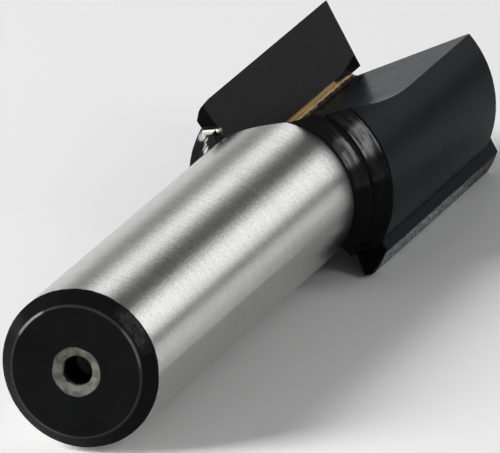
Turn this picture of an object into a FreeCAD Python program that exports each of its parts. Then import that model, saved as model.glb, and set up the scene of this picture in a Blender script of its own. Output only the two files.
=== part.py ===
import FreeCAD, Part
import math
import os

# Grooving bit with a round shank and two brazed cutting tips.
# Millimetres. The bit's axis is +Y, from the shank's end face at Y = 0 to the cutting end, and +Z is up.
# It lies on its side, rolled to where the lower cutting edge and the shoulder touch the same surface.

# Shank and neck, turned
SHANK_RADIUS = 6.35
SHANK_LENGTH = 48.3
END_CHAMFER = 1.1
END_ROUND = 0.15
NECK_LENGTH = 0.35
COLLAR_RADIUS = 7.35
COLLAR_RISE = 0.95
COLLAR_LENGTH = 0.95
CONE_LENGTH = 1.15
CORNER_ROUND = 0.25

# Lathe centre hole in the shank's end face
CENTRE_MOUTH_RADIUS = 1.95
CENTRE_PILOT_RADIUS = 1.2
CENTRE_PILOT_DEPTH = 3.4
CENTRE_CONE_ANGLE = 130.0
DRILL_POINT_ANGLE = 118.0

# Head with two wings; their backs stay inside the cutting circle by the tips' stand-out
CUTTING_RADIUS = 9.525
TIP_STAND_OUT = 0.985
HEAD_LENGTH = 26.8
EDGE_BREAK = 0.2

# Gullets, milled with a disc that runs out towards the shank
WEB_THICKNESS = 5.24
GULLET_ANGLE = 94.0
FLOOR_LENGTH = 15.7
RUN_OUT_RADIUS = 39.0

# Cutting tips
TIP_ANGLE = 134.4
HOOK_ANGLE = 17.0
TIP_THICKNESS = 1.85
TIP_OVERHANG = 1.6
TIP_REACH = 2.75
LAND_WIDTH = 1.1
LAND_RELIEF = 12.0
HEEL_RELIEF = 21.5
END_RELIEF = 12.0
START_RELIEF = 35.0
START_SLANT = 15.6
CORNER_DEPTH = 0.35
CORNER_LENGTH = 1.4
SEAT_OPENING = 1.37
SEAT_LEAD = 55.0

# Braze joints
BRAZE_GAP = 0.12
INNER_GAP = 0.25
BRAZE_SINK = 0.2
FILLET_LAP = 0.48
FILLET_FOOT = 0.55
FILLET_HOLLOW = 0.06

# Sizes and places that follow from the sizes above
WING_RADIUS = CUTTING_RADIUS - TIP_STAND_OUT
COLLAR_START = SHANK_LENGTH + NECK_LENGTH
COLLAR_TOP = COLLAR_START + COLLAR_RISE
CONE_START = COLLAR_TOP + COLLAR_LENGTH
SHOULDER = CONE_START + CONE_LENGTH
STEEL_END = SHOULDER + HEAD_LENGTH
RUN_OUT_START = STEEL_END - FLOOR_LENGTH
TIP_START = SHOULDER - TIP_OVERHANG
TIP_END = STEEL_END + TIP_REACH

# Overshoot of the cutting shapes, and the distance within which two places count as one
CLEAR = 2.0 * CUTTING_RADIUS
SAME_PLACE = 1e-6

V = FreeCAD.Vector
ORIGIN = V(0, 0, 0)
AXIS = V(0, 1, 0)


def across(angle):
    """Unit vector across the axis; 0 degrees is +X and 90 degrees is +Z."""
    turn = math.radians(angle)
    return V(math.cos(turn), 0, math.sin(turn))


# Directions of the first wing: down its rake face, out of that face, along its gullet's floor and off it
DOWN_RAKE = across(TIP_ANGLE + 180.0 - HOOK_ANGLE)
OUT_OF_RAKE = across(TIP_ANGLE + 270.0 - HOOK_ANGLE)
ALONG_FLOOR = across(TIP_ANGLE + 360.0 - HOOK_ANGLE - GULLET_ANGLE)
OFF_FLOOR = across(TIP_ANGLE + 90.0 - HOOK_ANGLE - GULLET_ANGLE)
CUTTING_CORNER = across(TIP_ANGLE) * CUTTING_RADIUS

# The seat reaches down the rake face to the gullet's floor, and the tip ends a gap above it
SEAT_DEPTH = (CUTTING_CORNER.dot(OFF_FLOOR) - WEB_THICKNESS / 2) / -DOWN_RAKE.dot(OFF_FLOOR)
TIP_WIDTH = SEAT_DEPTH - INNER_GAP
BEAD_START = TIP_START + SEAT_DEPTH * math.tan(math.radians(START_SLANT))

# Direction along the tip's near edge: down the rake face, and slanting along the bit towards the cutting end
NEAR_END = DOWN_RAKE + AXIS * math.tan(math.radians(START_SLANT))


def rake_point(depth, front, y=0.0):
    """Point at a depth down the rake face, a distance in front of it and a distance along the bit."""
    return CUTTING_CORNER + DOWN_RAKE * depth + OUT_OF_RAKE * front + AXIS * y


def face_of(points):
    """Flat face inside a closed run of corners."""
    return Part.Face(Part.makePolygon(points + points[:1]))


def half_turn(shape):
    """Copy of a shape for the opposite wing."""
    other = shape.copy()
    other.rotate(ORIGIN, AXIS, 180.0)
    return other


def turned(corners):
    """Solid turned about the bit's axis from (radius, y) corners."""
    return face_of([V(radius, y, 0) for radius, y in corners]).revolve(ORIGIN, AXIS, 360.0)


def circles(shape, places):
    """Round edges of a turned shape at the given (radius, y) places."""
    found = []
    for edge in shape.Edges:
        curve = edge.Curve
        if not isinstance(curve, Part.Circle):
            continue
        for radius, y in places:
            if abs(curve.Radius - radius) < SAME_PLACE and abs(curve.Center.y - y) < SAME_PLACE:
                found.append(edge)
    return found


def turned_blank():
    """The bar after turning: shank, neck, collar, cone and the round head."""
    blank = turned([
        (0, 0),
        (SHANK_RADIUS - END_CHAMFER, 0),
        (SHANK_RADIUS, END_CHAMFER),
        (SHANK_RADIUS, COLLAR_START),
        (COLLAR_RADIUS, COLLAR_TOP),
        (COLLAR_RADIUS, CONE_START),
        (WING_RADIUS, SHOULDER),
        (WING_RADIUS, STEEL_END - EDGE_BREAK),
        (WING_RADIUS - EDGE_BREAK, STEEL_END),
        (0, STEEL_END),
    ])
    blank = blank.makeFillet(END_ROUND, circles(blank, [(SHANK_RADIUS - END_CHAMFER, 0)]))
    corners = circles(blank, [(COLLAR_RADIUS, COLLAR_TOP), (WING_RADIUS, SHOULDER)])
    return blank.makeFillet(CORNER_ROUND, corners)


def centre_hole():
    """Countersink, pilot and drill point of the lathe centre, as the space they take."""
    cone_depth = (CENTRE_MOUTH_RADIUS - CENTRE_PILOT_RADIUS) / math.tan(math.radians(CENTRE_CONE_ANGLE / 2))
    point_depth = CENTRE_PILOT_RADIUS / math.tan(math.radians(DRILL_POINT_ANGLE / 2))
    return turned([
        (0, 0),
        (CENTRE_MOUTH_RADIUS, 0),
        (CENTRE_PILOT_RADIUS, cone_depth),
        (CENTRE_PILOT_RADIUS, CENTRE_PILOT_DEPTH),
        (0, CENTRE_PILOT_DEPTH + point_depth),
    ])


def gullet_floor_side():
    """Side view of the gullet: flat floor, then the disc's arc climbing towards the shank."""
    floor = WEB_THICKNESS / 2
    crest = floor + COLLAR_RADIUS
    far = TIP_END + CLEAR

    def place(y, height):
        return AXIS * y + OFF_FLOOR * height

    def on_arc(height):
        below_centre = floor + RUN_OUT_RADIUS - height
        return place(RUN_OUT_START - math.sqrt(RUN_OUT_RADIUS ** 2 - below_centre ** 2), height)

    start = place(RUN_OUT_START, floor)
    end = on_arc(crest)
    above_end = end + OFF_FLOOR * (CLEAR - crest)
    edges = [
        Part.Arc(end, on_arc((floor + crest) / 2), start).toShape(),
        Part.makeLine(start, place(far, floor)),
        Part.makeLine(place(far, floor), place(far, CLEAR)),
        Part.makeLine(place(far, CLEAR), above_end),
        Part.makeLine(above_end, end),
    ]
    return Part.Face(Part.Wire(edges))


def gullet():
    """Space milled out in front of the first wing."""
    side = gullet_floor_side()
    side.translate(ALONG_FLOOR * -CLEAR)
    swept = side.extrude(ALONG_FLOOR * (2 * CLEAR))
    ahead = face_of([
        rake_point(-CLEAR, 0),
        rake_point(CLEAR, 0),
        rake_point(CLEAR, 2 * CLEAR),
        rake_point(-CLEAR, 2 * CLEAR),
    ]).extrude(AXIS * (TIP_END + 2 * CLEAR))
    return swept.common(ahead)


def start_at(front):
    """How far the tip's near end lies along the bit, at a distance in front of the rake face or behind it."""
    slope = SEAT_LEAD if front > 0 else START_RELIEF
    return TIP_START - front * math.tan(math.radians(slope))


def behind_near_end(front, back, near, depth):
    """Space beyond the tip's near end, between two distances from the rake face and down to a depth."""
    outline = [
        (front, start_at(front) - near),
        (front, TIP_END + CLEAR),
        (-back, TIP_END + CLEAR),
        (-back, start_at(-back) - near),
        (0, TIP_START - near),
    ]
    side = face_of([rake_point(0, ahead, y) - NEAR_END * CLEAR for ahead, y in outline])
    return side.extrude(NEAR_END * (CLEAR + depth))


def corner_break():
    """Small wedge ground off the cutting edge at its near end."""
    start = TIP_START + CORNER_DEPTH * math.tan(math.radians(START_SLANT)) + CORNER_LENGTH
    wedge = face_of([
        rake_point(0, 0, start),
        rake_point(2 * CORNER_DEPTH, 0, start - 2 * CORNER_LENGTH),
        rake_point(0, 0, start - 2 * CORNER_LENGTH),
    ])
    return wedge.extrude(OUT_OF_RAKE * -TIP_THICKNESS)


def tip():
    """First cutting tip: a plate with two relief facets and relieved ends."""
    tangent = TIP_ANGLE + 90.0
    land_end = CUTTING_CORNER + across(tangent + LAND_RELIEF) * LAND_WIDTH
    heel_way = across(tangent + HEEL_RELIEF)
    behind_land = -(land_end - CUTTING_CORNER).dot(OUT_OF_RAKE)
    heel = land_end + heel_way * ((TIP_THICKNESS - behind_land) / -heel_way.dot(OUT_OF_RAKE))
    section = face_of([
        CUTTING_CORNER,
        rake_point(TIP_WIDTH, 0),
        rake_point(TIP_WIDTH, -TIP_THICKNESS),
        heel,
        land_end,
    ])
    bar = section.extrude(AXIS * TIP_END)
    near = behind_near_end(0, TIP_THICKNESS, 0, TIP_WIDTH)
    far = face_of([
        rake_point(-CLEAR, 0, TIP_END),
        rake_point(-CLEAR, -TIP_THICKNESS, TIP_END - TIP_THICKNESS * math.tan(math.radians(END_RELIEF))),
        rake_point(-CLEAR, -TIP_THICKNESS, TIP_END),
    ]).extrude(DOWN_RAKE * (2 * CLEAR))
    return bar.common(near).cut([far, corner_break()])


def fillet_bead():
    """Run of braze in the corner between the tip's rake face and the gullet's floor, slightly hollow."""
    top = rake_point(TIP_WIDTH - FILLET_LAP, 0, BEAD_START)
    corner = rake_point(SEAT_DEPTH, 0, BEAD_START)
    low = corner + ALONG_FLOOR * FILLET_FOOT
    under = rake_point(SEAT_DEPTH, -TIP_THICKNESS / 2, BEAD_START)
    behind = rake_point(TIP_WIDTH - FILLET_LAP, -TIP_THICKNESS / 2, BEAD_START)
    inward = (DOWN_RAKE - OUT_OF_RAKE).normalize()
    hollow = (top + low) * 0.5 + inward * FILLET_HOLLOW
    edges = [
        Part.Arc(top, hollow, low).toShape(),
        Part.makeLine(low, corner),
        Part.makeLine(corner, under),
        Part.makeLine(under, behind),
        Part.makeLine(behind, top),
    ]
    return Part.Face(Part.Wire(edges)).extrude(AXIS * (STEEL_END - BEAD_START))


def braze(blank, body, plate):
    """Braze of the first tip: a layer behind, below and at the near end of the plate, and its bead."""
    within = blank.common(Part.makeCylinder(WING_RADIUS - BRAZE_SINK, STEEL_END, ORIGIN, AXIS))
    layer = behind_near_end(0, TIP_THICKNESS + BRAZE_GAP, BRAZE_GAP, SEAT_DEPTH).common(within)
    joint = layer.fuse(fillet_bead()).cut([plate, body])
    return joint.removeSplitter()


def main():
    blank = turned_blank()
    plate = tip()
    seat = behind_near_end(SEAT_OPENING, TIP_THICKNESS + BRAZE_GAP, BRAZE_GAP, SEAT_DEPTH)
    space = gullet()
    body = blank.cut([space, half_turn(space), seat, half_turn(seat), centre_hole()])
    joint = braze(blank, body, plate)
    pieces = {
        "body": body,
        "tip_1": plate,
        "tip_2": half_turn(plate),
        "braze_1": joint,
        "braze_2": half_turn(joint),
    }
    os.makedirs("parts", exist_ok=True)
    for name, shape in pieces.items():
        print(name, len(shape.Solids), "solid", round(shape.Volume, 3), "mm3", "valid", shape.isValid())
        shape.Solids[0].exportStep("parts/" + name + ".step")


main()
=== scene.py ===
import math

import bpy
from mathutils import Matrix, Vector


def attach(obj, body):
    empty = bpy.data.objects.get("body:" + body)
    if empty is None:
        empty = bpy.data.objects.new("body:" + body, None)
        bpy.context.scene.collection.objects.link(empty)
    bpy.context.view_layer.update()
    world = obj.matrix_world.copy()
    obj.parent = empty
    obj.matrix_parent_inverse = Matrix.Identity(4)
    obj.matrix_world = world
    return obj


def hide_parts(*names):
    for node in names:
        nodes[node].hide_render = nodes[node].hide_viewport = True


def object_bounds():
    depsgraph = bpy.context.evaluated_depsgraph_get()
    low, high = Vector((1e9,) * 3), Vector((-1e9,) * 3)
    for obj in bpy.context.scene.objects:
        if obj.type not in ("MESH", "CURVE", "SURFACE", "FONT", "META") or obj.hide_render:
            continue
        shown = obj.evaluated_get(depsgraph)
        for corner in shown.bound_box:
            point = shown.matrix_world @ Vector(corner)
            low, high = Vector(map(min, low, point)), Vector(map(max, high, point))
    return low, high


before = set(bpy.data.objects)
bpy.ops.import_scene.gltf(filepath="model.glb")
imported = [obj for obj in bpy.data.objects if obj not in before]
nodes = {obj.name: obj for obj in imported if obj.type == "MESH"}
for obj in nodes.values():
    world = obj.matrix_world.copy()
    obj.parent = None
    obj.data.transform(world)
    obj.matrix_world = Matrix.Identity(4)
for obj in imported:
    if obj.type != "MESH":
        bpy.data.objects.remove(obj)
cad_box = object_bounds()

# Body: shank, neck collar and two-wing head of alloy steel, one piece turned and milled from bar.
# Blackened all over in a hot oxide bath, then only the shank was ground bright again,
# round and round in a centreless grinder, which leaves its fine rings.

SHANK_RADIUS = 0.00635
SHANK_END = 0.0483
SHOULDER = 0.0517
END_CHAMFER = 0.0011
END_EDGE = 0.00525
END_FACE_REACH = 0.0006
CENTRE_MOUTH = 0.00195
CENTRE_PILOT = 0.0012
PILOT_REACH = 0.010

# A hundredth of a millimetre: the soft and ragged edges between two finishes are measured in it
HAIR = 0.00001

# Worn places, each with its direction across the bit as (x, z), how nearly towards it the wear starts
# and is full (1 is straight towards it), and for the end face's edge also how strong it is
POLISHED_SIDES = (((0.83, 0.56), 0.89, 0.975), ((-0.883, 0.469), 0.9984, 0.99995))
RUBBED_SPOTS = (((-0.70, 0.71), 0.950, 0.990, 1.0), ((0.90, 0.43), 0.930, 0.990, 0.35))
SCUFF = ((0.80, 0.60), 0.92, 0.99)
SCUFF_STRENGTH = 0.07
RUBBED_EVERYWHERE = 0.10
RUBBED_IN_PATCHES = 0.12
EDGE_BARENESS = 0.35

# Colours: the darkest and the lightest of each finish, and the one grey of the pilot hole
GROUND_STEEL = ((0.26, 0.26, 0.25, 1), (0.88, 0.88, 0.87, 1))
BLACK_END = ((0.0031, 0.0032, 0.0033, 1), (0.0088, 0.0090, 0.0094, 1))
# The head's black is bluer than the end's as its own tint, and lighter as painted light for the wings
BLACK_HEAD_PAINTED_LIGHTER = ((0.0054, 0.0068, 0.0081, 1), (0.0146, 0.0190, 0.0223, 1))
DULL_CENTRE = ((0.055, 0.053, 0.042, 1), (0.15, 0.153, 0.130, 1))
PILOT_GREY = (0.06, 0.062, 0.066, 1)

OXIDE_ROUGHNESS = 0.22
OXIDE_IOR = 1.07
POLISH_IOR = 1.6
POLISH_ROUGHNESS = 0.14
BODY_MARK_HEIGHT = 0.000005


class Field:
    """A number that varies over a finish; arithmetic on it adds Math nodes to the finish."""

    def __init__(self, finish, socket):
        self.finish = finish
        self.socket = socket

    def math(self, operation, first, second=0.0):
        return self.finish.node("ShaderNodeMath", {"operation": operation}, {0: first, 1: second})

    def __add__(self, other):
        return self.math("ADD", self, other)

    __radd__ = __add__

    def __sub__(self, other):
        return self.math("SUBTRACT", self, other)

    def __rsub__(self, other):
        return self.math("SUBTRACT", other, self)

    def __mul__(self, other):
        return self.math("MULTIPLY", self, other)

    __rmul__ = __mul__

    def __truediv__(self, other):
        return self.math("DIVIDE", self, other)

    def __rtruediv__(self, other):
        return self.math("DIVIDE", other, self)

    def __pow__(self, other):
        return self.math("POWER", self, other)


class Finish:
    """A surface finish: one material whose nodes are added by node() and by arithmetic on fields."""

    def __init__(self, tree):
        self.tree = tree

    def node(self, kind, settings, feeds, output=0):
        made = self.tree.nodes.new(kind)
        for name, value in settings.items():
            setattr(made, name, value)
        for place, value in feeds.items():
            self.feed(made.inputs[place], value)
        return Field(self, made.outputs[output])

    def feed(self, socket, value):
        if isinstance(value, Field):
            self.tree.links.new(value.socket, socket)
        else:
            socket.default_value = value

    def place(self):
        """Object coordinates of the surface as a vector and as its x, y and z."""
        at = self.node("ShaderNodeTexCoord", {}, {}, "Object")
        return at, *[self.node("ShaderNodeSeparateXYZ", {}, {0: at}, axis) for axis in "XYZ"]

    def step(self, value, low, high):
        """0 below low, 1 above high, eased between."""
        return self.node("ShaderNodeMapRange", {"interpolation_type": "SMOOTHSTEP"},
                         {"Value": value, "From Min": low, "From Max": high})

    def band(self, value, low, high, edge):
        """1 from low to high, 0 outside, eased over edge."""
        return self.step(value, low - edge, low + edge) * (1 - self.step(value, high - edge, high + edge))

    def greater(self, first, second):
        return self.node("ShaderNodeMath", {"operation": "MAXIMUM"}, {0: first, 1: second})

    def along(self, at, way):
        """Distance along a direction."""
        return self.node("ShaderNodeVectorMath", {"operation": "DOT_PRODUCT"}, {0: at, 1: way}, "Value")

    def size(self, value):
        """A number without its sign."""
        return self.node("ShaderNodeMath", {"operation": "ABSOLUTE"}, {0: value})

    def noise(self, at, per_metre, detail, rough=0.5):
        """Noise from 0 to 1, with its number of lumps per metre along x, y and z."""
        stretched = self.node("ShaderNodeVectorMath", {"operation": "MULTIPLY"}, {0: at, 1: per_metre})
        return self.node("ShaderNodeTexNoise", {"normalize": True},
                         {"Vector": stretched, "Scale": 1.0, "Detail": detail, "Roughness": rough})

    def blend(self, share, first, second):
        """Colour between two colours."""
        return self.node("ShaderNodeMix", {"data_type": "RGBA"}, {0: share, 6: first, 7: second}, 2)

    def bump(self, height, distance):
        return self.node("ShaderNodeBump", {}, {"Height": height, "Distance": distance, "Strength": 1.0})


def surface(name):
    """A new material and the finish that its nodes go into."""
    material = bpy.data.materials.new(name)
    material.use_nodes = True
    return material, Finish(material.node_tree)


def coat(piece, material):
    """Puts one material on every face of a piece."""
    piece.data.materials.clear()
    piece.data.materials.append(material)


body_metal, finish = surface("blackened_and_ground_steel")
at, x, y, z = finish.place()
radius = (x * x + z * z) ** 0.5
grain = finish.noise(at, (4500, 4500, 4500), 2)
fine_clouds = finish.noise(at, (1400, 1400, 1400), 3)
clouds = finish.noise(at, (260, 260, 260), 4, 0.6)
patches = finish.noise(at, (170, 170, 170), 2)
rings = finish.noise(at, (150, 9000, 150), 4, 0.7)
broad_rings = finish.noise(at, (60, 1500, 60), 2)
streaks = finish.noise(at, (350, 4000, 350), 4, 0.7)
ragged = fine_clouds - 0.5


def towards(way):
    """How nearly a place of the body lies towards a direction across the bit, 1 straight towards it."""
    return (x * way[0] + z * way[1]) / radius


# The ground shank
on_shank = finish.band(y + ragged * (12 * HAIR), END_CHAMFER, SHANK_END, 4 * HAIR)
ground = on_shank * finish.step(radius, SHANK_RADIUS - 12 * HAIR, SHANK_RADIUS - 6 * HAIR)

# The dull countersink of the lathe centre, and the pilot hole in its middle
near_end_face = 1 - finish.step(y, END_FACE_REACH, END_FACE_REACH + 20 * HAIR)
in_centre = finish.band(radius + ragged * (30 * HAIR), CENTRE_PILOT, CENTRE_MOUTH, 5 * HAIR) * near_end_face
in_pilot = 1 - finish.step(radius, CENTRE_PILOT - 6 * HAIR, CENTRE_PILOT - 2 * HAIR)
in_pilot = in_pilot * (1 - finish.step(y, PILOT_REACH, PILOT_REACH + 100 * HAIR))

# The end face's edge, a little rubbed all round and bare in spots
end_edge = finish.band(radius, END_EDGE - 9 * HAIR, END_EDGE + 9 * HAIR, 6 * HAIR) * near_end_face
rubbed = RUBBED_EVERYWHERE + finish.step(patches, 0.5, 0.7) * RUBBED_IN_PATCHES
for way, first, full, strength in RUBBED_SPOTS:
    rubbed = rubbed + finish.step(towards(way) + ragged * 0.04, first, full) * strength
edge_worn = end_edge * rubbed * EDGE_BARENESS

# A faint scuff on the chamfer
on_chamfer = 1 - finish.step(y, END_CHAMFER - 20 * HAIR, END_CHAMFER)
on_chamfer = on_chamfer * finish.step(radius, END_EDGE + 10 * HAIR, END_EDGE + 40 * HAIR)
way, first, full = SCUFF
speckled = finish.step(grain * 0.5 + fine_clouds * 0.5, 0.25, 0.75)
scuffed = on_chamfer * finish.step(towards(way), first, full) * speckled * SCUFF_STRENGTH

# The turning marks of the collar, worn bright on two sides
on_collar = finish.band(y, SHANK_END + 40 * HAIR, SHOULDER - 10 * HAIR, 10 * HAIR) * (1 - ground)
polished = 0.0
for way, first, full in POLISHED_SIDES:
    polished = polished + finish.step(towards(way) + (streaks - 0.5) * 0.015, first, full)
bright_marks = finish.step(streaks * 0.7 + fine_clouds * 0.3, 0.40, 0.60)
polished = on_collar * polished * (0.15 + bright_marks * 0.85)

ground_colour = finish.blend(rings * 0.3 + broad_rings * 0.2 + grain * 0.5, *GROUND_STEEL)
on_head = finish.step(y, SHOULDER, SHOULDER + 20 * HAIR)
# The head gets a lighter black than the end: painted light that brightens the wings
black_colour = finish.blend(on_head, finish.blend(clouds, *BLACK_END), finish.blend(clouds, *BLACK_HEAD_PAINTED_LIGHTER))
centre_colour = finish.blend(finish.step(fine_clouds * 0.75 + grain * 0.25, 0.30, 0.66), *DULL_CENTRE)
bare = finish.greater(ground, finish.greater(edge_worn, scuffed))
colour = finish.blend(in_centre, finish.blend(bare, black_colour, ground_colour), centre_colour)
colour = finish.blend(in_pilot, colour, PILOT_GREY)
roughness = OXIDE_ROUGHNESS + clouds * 0.1 - ground * (0.11 - rings * 0.10) + in_centre * 0.3
marks = rings * ground + grain * (0.3 + ground * 1.2) + streaks * on_collar * 3 + in_centre * fine_clouds * 8

shader = finish.tree.nodes["Principled BSDF"]
finish.feed(shader.inputs["Base Color"], colour)
finish.feed(shader.inputs["Metallic"], bare)
finish.feed(shader.inputs["Roughness"], roughness)
finish.feed(shader.inputs["Coat Weight"], polished)
finish.feed(shader.inputs["Normal"], finish.bump(marks, BODY_MARK_HEIGHT))
shader.inputs["IOR"].default_value = OXIDE_IOR
shader.inputs["Coat IOR"].default_value = POLISH_IOR
shader.inputs["Coat Roughness"].default_value = POLISH_ROUGHNESS
coat(nodes["body"], body_metal)

# Cutting tips: two flat plates of sintered tungsten carbide, each laid in the seat of its wing.
# Ground after brazing on the rake face and the two relief facets, which leaves fine straight lines.

# The first plate's rake face: the directions out of it and down it, its distance from the bit's axis,
# and the distance from its cutting edge down to where it is nearest the axis
OUT_OF_RAKE = (0.8878, 0.0, 0.4602)
DOWN_RAKE = (0.4602, 0.0, -0.8878)
RAKE_OFFSET = 0.002785
CORNER_REACH = 0.009108

# Places along the bit: the end of the plates' near facet, and the start of the relief facets' darkening and
# of the black patch
NEAR_FACET_END = 0.0521
DARKER_FROM = 0.0690
DARKER_FADE = 0.012
BLACK_PATCH_START = 0.0750

# Depths down the rake face from the cutting edge; the black patch lies deeper than BLACK_PATCH_DEPTH less
# BLACK_PATCH_SLANT times the place along the bit
BLACK_PATCH_DEPTH = 0.01646
BLACK_PATCH_SLANT = 0.142
HEAT_TINT_DEPTH = 0.0050

# Distance behind the rake face
HEEL_START = 0.00156

RAKE_GREY = ((0.0045, 0.0045, 0.0048, 1), (0.009, 0.0085, 0.008, 1))
HEAT_TINT = (0.024, 0.019, 0.011, 1)
RELIEF_GREY = ((0.027, 0.031, 0.035, 1), (0.48, 0.50, 0.52, 1))
FAR_DARK_AND_HEEL_SHADOW = (0.003, 0.0033, 0.0036, 1)
HEEL_BLACK = ((0.008, 0.0098, 0.0115, 1), (0.014, 0.0175, 0.0205, 1))
TIP_BLACK = (0.002, 0.002, 0.002, 1)

CARBIDE_ROUGHNESS = 0.20
CARBIDE_IOR = 1.095
CARBIDE_MARK_HEIGHT = 0.000003

carbide, finish = surface("ground_carbide")
at, x, y, z = finish.place()
grain = finish.noise(at, (2500, 2500, 2500), 3)
lines = finish.noise(at, (600, 9000, 600), 3, 0.6)
mottle = finish.noise(at, (3200, 3200, 3200), 3, 0.6)

# The second plate is the first one turned half a turn, so the sign of both distances is dropped
back = finish.size(finish.along(at, OUT_OF_RAKE)) - RAKE_OFFSET
depth = CORNER_REACH - finish.size(finish.along(at, DOWN_RAKE))
behind_rake = finish.step(back, 4 * HAIR, 12 * HAIR)
relief = behind_rake * finish.step(y, NEAR_FACET_END, NEAR_FACET_END + 30 * HAIR)

# Black at the far end of the seam, and black facets at the near end
patch_from = finish.step(y, BLACK_PATCH_START, BLACK_PATCH_START + 40 * HAIR)
ragged_depth = depth + y * BLACK_PATCH_SLANT + (mottle - 0.5) * (30 * HAIR)
black_patches = finish.step(ragged_depth, BLACK_PATCH_DEPTH, BLACK_PATCH_DEPTH + 10 * HAIR) * patch_from
black_on_tip = finish.greater(black_patches, behind_rake - relief)

# The rake face, tinted by the heat of brazing beside the seam
tinted_depth = depth + (grain - 0.5) * (60 * HAIR)
heated = finish.step(tinted_depth, HEAT_TINT_DEPTH, HEAT_TINT_DEPTH + 100 * HAIR) * 0.7
rake_colour = finish.blend(heated, finish.blend(grain, *RAKE_GREY), HEAT_TINT)

# The relief facets: mottled, darker towards the far end, with a painted shadow line where the heel meets the
# wing, and blackened like the wing beyond it
# Darker towards the far end of the relief facets
darker_far_end = finish.step(y + (lines - 0.5) * 0.004, DARKER_FROM, DARKER_FROM + DARKER_FADE) * 0.75
# Painted shadow: a black line along the heel, where the plate meets the wing
heel_shadow_line = finish.step(back + (mottle - 0.5) * (30 * HAIR), HEEL_START, HEEL_START + 10 * HAIR)
heel_oxide = finish.step(back, HEEL_START + 8 * HAIR, HEEL_START + 20 * HAIR)
relief_colour = finish.blend(finish.step(mottle, 0.35, 0.65), *RELIEF_GREY)
relief_colour = finish.blend(finish.greater(darker_far_end, heel_shadow_line), relief_colour, FAR_DARK_AND_HEEL_SHADOW)
relief_colour = finish.blend(heel_oxide, relief_colour, finish.blend(grain, *HEEL_BLACK))

colour = finish.blend(black_on_tip, finish.blend(relief, rake_colour, relief_colour), TIP_BLACK)
roughness = CARBIDE_ROUGHNESS + lines * 0.12 + relief * 0.25 + black_on_tip * 0.5
shader = finish.tree.nodes["Principled BSDF"]
finish.feed(shader.inputs["Base Color"], colour)
finish.feed(shader.inputs["Roughness"], roughness)
finish.feed(shader.inputs["Normal"], finish.bump(lines + relief * mottle * 3, CARBIDE_MARK_HEIGHT))
shader.inputs["IOR"].default_value = CARBIDE_IOR
for name in ("tip_1", "tip_2"):
    coat(nodes[name], carbide)

# Braze joints: a brass-coloured silver solder, melted between each plate and its seat.
# It runs out as a narrow uneven bead along the plate's inner edge and dulls where it was overheated.

# The two beads of a joint, each with its start and end (out of the rake face, down it and along the bit),
# its radius and how many rings of points it is divided into
NEAR_BEAD = ((0.00035, 0.00257, 0.05011), (-0.0015, 0.00221, 0.05121), 0.00030, 12)
SEAM_BEAD = ((0.0001, 0.00625, 0.0525), (0.0001, 0.00625, 0.0783), 0.00042, 120)
BEAD_SIDES = 20
END_ROUNDING = 0.8
END_ROUNDING_STEPS = 4
BEAD_UNEVEN = 0.4
LUMP_SIZE = 0.0009
SAME_PLACE = 0.000001
SMOOTH_UNDER = math.radians(40)

# The seam's far end is black where it is less deep down the rake face than JOINT_BLACK_DEPTH plus
# JOINT_BLACK_SLANT times the place along the bit. The joint's near end is pale between two depths,
# and the seam is scorched where it stands farther out of the rake face than SCORCHED_FROM.
JOINT_BLACK_DEPTH = -0.00055
JOINT_BLACK_SLANT = 0.084
PALE_FROM = 0.00226
PALE_TO = 0.00285
SCORCHED_FROM = 0.00041

GOLD = ((0.34, 0.205, 0.058, 1), (0.88, 0.61, 0.23, 1))
PALE_SOLDER = (0.78, 0.74, 0.64, 1)
SCORCHED_BROWN = (0.022, 0.014, 0.008, 1)
# Black of the joint's dark places, also used as painted shade on the joint below the axis
JOINT_BLACK_AND_SHADE = (0.003, 0.003, 0.003, 1)

SOLDER_ROUGHNESS = 0.3
SOLDER_IOR = 1.1
SOLDER_LUMP_HEIGHT = 0.00006

solder, finish = surface("golden_braze")
at, x, y, z = finish.place()
lumps = finish.noise(at, (900, 500, 900), 3, 0.6)
specks = finish.noise(at, (3000, 3000, 3000), 3, 0.6)
depth = CORNER_REACH - finish.size(finish.along(at, DOWN_RAKE))
front = RAKE_OFFSET - finish.size(finish.along(at, OUT_OF_RAKE))

# Black at the seam's far end
seen_depth = depth + front * 0.25 + (specks - 0.5) * (15 * HAIR)
slanted_depth = seen_depth - y * JOINT_BLACK_SLANT
below_black = finish.step(slanted_depth, JOINT_BLACK_DEPTH, JOINT_BLACK_DEPTH + 10 * HAIR)
black_patches = (1 - below_black) * finish.step(y, BLACK_PATCH_START, BLACK_PATCH_START + 20 * HAIR)

# The joint's near end is pale between two depths and dark beyond them; on the second joint,
# which lies below the axis, it is black all over: painted shade
near_end = 1 - finish.step(y, NEAR_FACET_END - 30 * HAIR, NEAR_FACET_END)
shaded_below_axis = 1 - finish.step(z, -20 * HAIR, 20 * HAIR)
dark_deeper = finish.step(depth, PALE_TO, PALE_TO + 15 * HAIR)
dark_higher = 1 - finish.step(depth - front * 0.18, PALE_FROM, PALE_FROM + 4 * HAIR)
dark_and_shaded = finish.greater(shaded_below_axis, finish.greater(dark_deeper, dark_higher))
black_patches = finish.greater(black_patches, near_end * dark_and_shaded)

# The far side of the seam, out over the gullet's floor, is scorched brown
ragged_front = front + (specks - 0.5) * (12 * HAIR) + (lumps - 0.5) * (5 * HAIR)
scorched = finish.step(ragged_front, SCORCHED_FROM, SCORCHED_FROM + 8 * HAIR)

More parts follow.
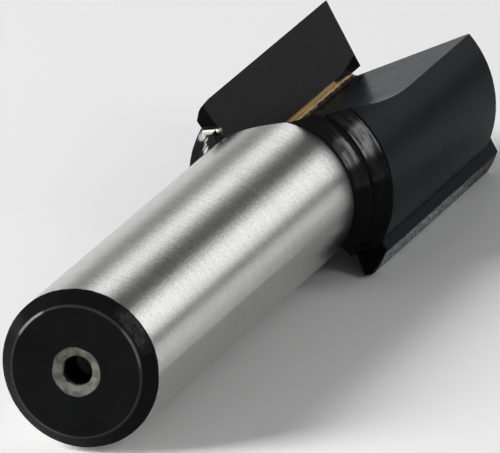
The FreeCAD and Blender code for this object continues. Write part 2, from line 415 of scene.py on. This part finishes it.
colour = finish.blend(near_end, finish.blend(lumps * 0.7 + specks * 0.3, *GOLD), PALE_SOLDER)
colour = finish.blend(black_patches, finish.blend(scorched, colour, SCORCHED_BROWN), JOINT_BLACK_AND_SHADE)
shader = finish.tree.nodes["Principled BSDF"]
finish.feed(shader.inputs["Base Color"], colour)
finish.feed(shader.inputs["Metallic"], 1 - finish.greater(black_patches, scorched))
finish.feed(shader.inputs["Roughness"], SOLDER_ROUGHNESS + lumps * 0.25)
finish.feed(shader.inputs["Normal"], finish.bump(lumps + specks * 0.15, SOLDER_LUMP_HEIGHT))
shader.inputs["IOR"].default_value = SOLDER_IOR

lump_texture = bpy.data.textures.new("solder_lumps", "CLOUDS")
lump_texture.noise_scale = LUMP_SIZE


def seam_place(front, depth, along, turned):
    """Place by its distance out of the rake face, down it and along the bit; turned is -1 for joint 2."""
    side = Vector(OUT_OF_RAKE) * (front - RAKE_OFFSET) + Vector(DOWN_RAKE) * (depth - CORNER_REACH)
    return side * turned + Vector((0, along, 0))


def select_edges(piece, chosen):
    """Edit mode with only the edges selected whose two ends the test chooses."""
    bpy.ops.object.mode_set(mode="EDIT")
    bpy.ops.mesh.select_mode(type="EDGE")
    bpy.ops.mesh.select_all(action="DESELECT")
    bpy.ops.object.mode_set(mode="OBJECT")
    corners = piece.data.vertices
    for edge in piece.data.edges:
        edge.select = chosen(*[corners[corner].co for corner in edge.vertices])
    bpy.ops.object.mode_set(mode="EDIT")


def bead(start, end, thick, rings):
    """A run of solder between two places, round at its ends and lumpy; thick is its radius."""
    run = end - start
    way = run.normalized()
    bpy.ops.object.select_all(action="DESELECT")
    bpy.ops.mesh.primitive_cylinder_add(vertices=BEAD_SIDES, radius=thick, depth=run.length,
                                        location=(start + end) / 2,
                                        rotation=run.to_track_quat("Z", "Y").to_euler())
    bpy.ops.object.transform_apply(location=True, rotation=True, scale=True)
    made = bpy.context.object

    # The edges round both ends lie across the run, and those of its side along it
    select_edges(made, lambda a, b: abs((a - b).dot(way)) < thick * 0.01)
    bpy.ops.mesh.bevel(offset=thick * END_ROUNDING, segments=END_ROUNDING_STEPS)
    select_edges(made, lambda a, b: abs((a - b).dot(way)) > run.length * 0.4)
    bpy.ops.mesh.subdivide(number_cuts=rings)
    bpy.ops.object.mode_set(mode="OBJECT")
    lumpy = made.modifiers.new("lumps", "DISPLACE")
    lumpy.texture = lump_texture
    lumpy.texture_coords = "LOCAL"
    lumpy.strength = thick * BEAD_UNEVEN
    bpy.ops.object.modifier_apply(modifier="lumps")
    return made


for name, turned in (("1", 1), ("2", -1)):
    bpy.ops.object.select_all(action="DESELECT")
    joint_node = nodes["braze_" + name]
    joint_node.select_set(True)
    bpy.context.view_layer.objects.active = joint_node
    bpy.ops.object.duplicate()
    joint = bpy.context.object
    joint.name = "brazed_joint_" + name
    bpy.ops.object.mode_set(mode="EDIT")
    bpy.ops.mesh.select_all(action="SELECT")
    bpy.ops.mesh.remove_doubles(threshold=SAME_PLACE)
    bpy.ops.object.mode_set(mode="OBJECT")
    for start, end, thick, rings in (NEAR_BEAD, SEAM_BEAD):
        run = bead(seam_place(*start, turned), seam_place(*end, turned), thick, rings)
        bpy.context.view_layer.objects.active = joint
        union = joint.modifiers.new("melted", "BOOLEAN")
        union.operation = "UNION"
        union.object = run
        bpy.ops.object.modifier_apply(modifier="melted")
        bpy.data.objects.remove(run)
    bpy.ops.object.select_all(action="DESELECT")
    joint.select_set(True)
    bpy.ops.object.shade_smooth_by_angle(angle=SMOOTH_UNDER)
    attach(joint, "root")
    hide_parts("braze_" + name)
    coat(joint, solder)

# Floor: a plain pale table that the bit lies on, level with the bit's lowest corner.
# It isn't part of the object.

FLOOR_HALF = 3.0
TABLE_WHITE = (0.98, 0.98, 0.98, 1)

bpy.ops.object.select_all(action="DESELECT")
bpy.ops.mesh.primitive_plane_add(size=2 * FLOOR_HALF, location=(0, 0, cad_box[0][2]))
bpy.ops.object.transform_apply(location=True)
floor = bpy.context.object
floor.name = "floor"
table_top, finish = surface("pale_table")
shader = finish.tree.nodes["Principled BSDF"]
shader.inputs["Base Color"].default_value = TABLE_WHITE
shader.inputs["Roughness"].default_value = 0.9
shader.inputs["Specular IOR Level"].default_value = 0.1
floor.data.materials.append(table_top)

# Light: a soft box high on the left, a small weak one low on the left and a fill on the right,
# and long soft boxes beyond both ends of the bit, which the round shank shows as its bright stripes.

# The long boxes: places round the bit's axis, as a share of the half turn from right over the top to left,
# each with the light there
LONG_BOXES = ((0.0, 0.0), (0.03, 0.15), (0.10, 1.15), (0.15, 1.35), (0.23, 1.35), (0.295, 0.60),
              (0.345, 0.02), (0.44, 0.0), (0.50, 0.30), (0.56, 1.15), (0.60, 1.30), (0.65, 1.05),
              (0.72, 0.28), (0.78, 0.15), (0.86, 0.36), (0.94, 0.76), (1.0, 0.9))
BASE_LIGHT = 0.11
SIDE_LIGHT = 0.06
BIT_MIDDLE = (0, 0.04, 0)
LAMP_REACH = 1.4

world = bpy.data.worlds.new("studio")
bpy.context.scene.world = world
world.use_nodes = True
sky = Finish(world.node_tree)
toward = sky.node("ShaderNodeTexCoord", {}, {}, "Generated")
right, along, up = [sky.node("ShaderNodeSeparateXYZ", {}, {0: toward}, axis) for axis in "XYZ"]
round_axis = sky.node("ShaderNodeMath", {"operation": "ARCTAN2"}, {0: up, 1: right}) / math.pi
glow = LONG_BOXES[0][1]
for (low, dim), (high, lit) in zip(LONG_BOXES, LONG_BOXES[1:]):
    glow = glow + (lit - dim) * sky.step(round_axis, low, high)

# The boxes fade out towards the sides, where a direction lies less along the bit
beyond_end = sky.step(along * along, 0.5, 0.75)
background = world.node_tree.nodes["Background"]
sky.feed(background.inputs["Strength"], BASE_LIGHT + glow * beyond_end + SIDE_LIGHT * (1 - beyond_end))
background.inputs["Color"].default_value = (1, 1, 1, 1)


def soft_box(name, toward, wide, high, watts):
    """Rectangular lamp that faces the bit's middle from a direction."""
    way = Vector(toward).normalized()
    bpy.ops.object.light_add(type="AREA", location=Vector(BIT_MIDDLE) + way * LAMP_REACH,
                             rotation=way.to_track_quat("Z", "Y").to_euler())
    lamp = bpy.context.object
    lamp.name = name
    lamp.data.shape = "RECTANGLE"
    lamp.data.size = wide
    lamp.data.size_y = high
    lamp.data.energy = watts


soft_box("key_box", (-0.66, -0.55, 0.51), 0.6, 0.6, 22.0)
soft_box("left_box", (-0.98, 0.10, 0.15), 0.1, 0.35, 1.5)
soft_box("right_box", (0.76, -0.445, 0.47), 0.5, 0.6, 3.0)

# Camera: at the photo's viewing angle, above the shank's end and a little to its right.
# It is far off with a very long lens, so the bit shows almost without perspective.

CAMERA_PLACE = (0.4036, -1.1248, 0.3636)
CAMERA_TURNS = (73.562, 1.564, 18.626)
LENS = 1178.0
SENSOR_WIDTH = 36.0
FARTHEST_SEEN = 20.0

bpy.ops.object.camera_add(location=CAMERA_PLACE, rotation=[math.radians(turn) for turn in CAMERA_TURNS])
camera = bpy.context.object
camera.data.lens = LENS
camera.data.sensor_width = SENSOR_WIDTH
camera.data.clip_end = FARTHEST_SEEN
bpy.context.scene.camera = camera
bpy.context.scene.view_settings.view_transform = "Standard"
